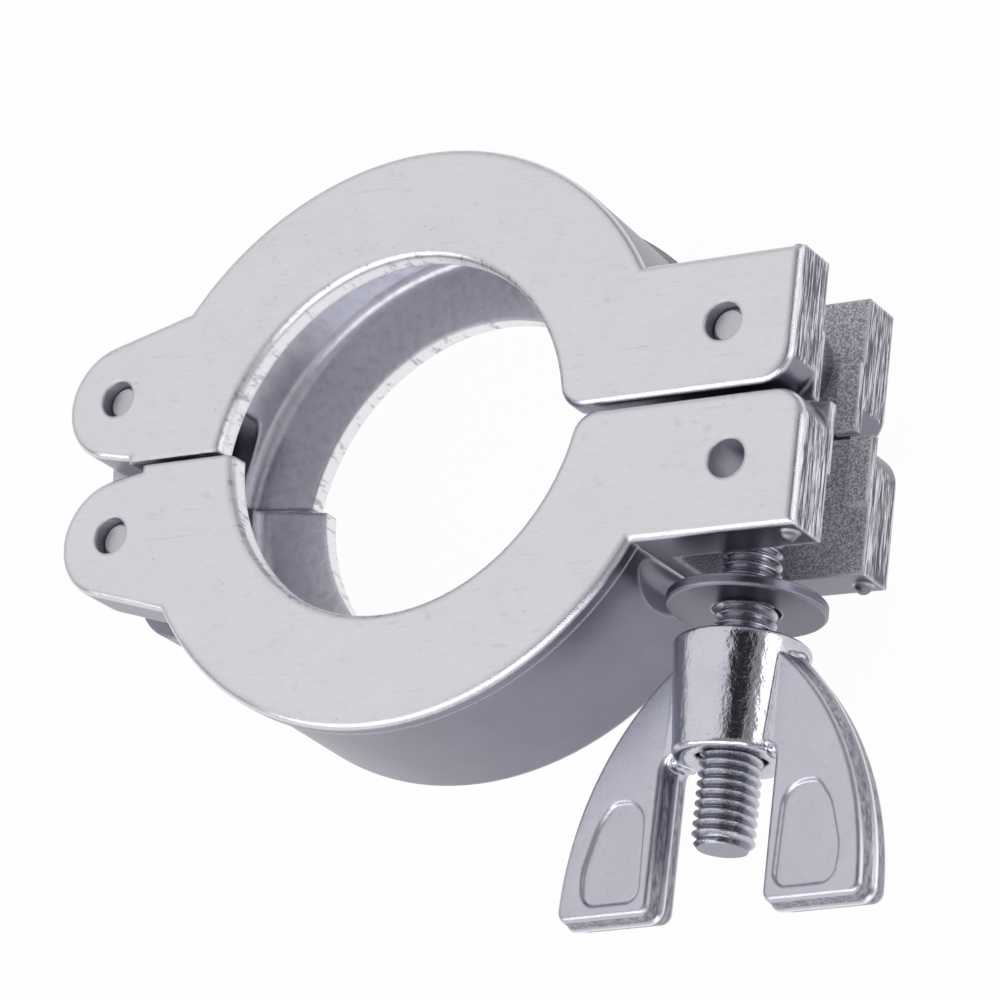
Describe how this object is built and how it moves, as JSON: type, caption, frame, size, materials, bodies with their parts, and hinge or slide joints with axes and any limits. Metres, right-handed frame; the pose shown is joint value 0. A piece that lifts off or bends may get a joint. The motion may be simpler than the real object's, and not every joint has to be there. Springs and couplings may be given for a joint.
{
  "type": "flange clamp",
  "caption": "Hinged two-half clamp for small vacuum flanges, with a tapered inner groove, a swing bolt, a washer and a wing nut.",
  "frame": {"origin": "on the flange axis, midway between the two halves' bore centres, in the plane of the back face", "axes": "+Z along the flange axis towards the front face, +X towards the bolt side, +Y across the split towards the upper half"},
  "size_m": [0.0803, 0.0656, 0.016],
  "materials": {
    "cast_aluminium": "cast, with both faces sanded flat",
    "link_steel": "satin",
    "pin_steel": "satin",
    "plated_bolt": "bright zinc plate",
    "plated_washer": "satin zinc plate",
    "plated_casting": "bright plate over a cast skin"
  },
  "bodies": {
    "upper_shell": {"upper_shell": "cast_aluminium", "hinge_pin_upper": "pin_steel", "bolt_pin": "pin_steel"},
    "hinge_link": {"hinge_link": "link_steel"},
    "lower_shell": {"lower_shell": "cast_aluminium", "hinge_pin_lower": "pin_steel"},
    "swing_bolt": {"swing_bolt": "plated_bolt"},
    "washer": {"washer": "plated_washer"},
    "wing_nut": {"wing_nut": "plated_casting"}
  },
  "joints": [
    {"name": "link_hinge", "type": "hinge", "parent": "upper_shell", "child": "hinge_link", "pos_m": [-0.0295, 0.00635, 0.008], "axis": [0, 0, -1], "range_deg": [-0.17, 0.7]},
    {"name": "lower_shell_hinge", "type": "hinge", "parent": "hinge_link", "child": "lower_shell", "pos_m": [-0.0279, -0.00635, 0.008], "axis": [0, 0, -1], "range_deg": [-0.17, 0.7]},
    {"name": "bolt_swing", "type": "hinge", "parent": "upper_shell", "child": "swing_bolt", "pos_m": [0.0306, 0.00585, 0.008], "axis": [0, 0, 1], "range_deg": [-4, 180]},
    {"name": "washer_slide", "type": "slide", "parent": "swing_bolt", "child": "washer", "axis": [0, 1, 0], "range_m": [-0.0058, 0.001]},
    {"name": "nut_turn", "type": "hinge", "parent": "washer", "child": "wing_nut", "pos_m": [0.0306, -0.01835, 0.008], "axis": [0, 1, 0], "range_deg": [-2520, 360]}
  ],
  "couplings": [
    {"joint": "washer_slide", "follows": "nut_turn", "m_per_rad": 0.00012732}
  ]
}
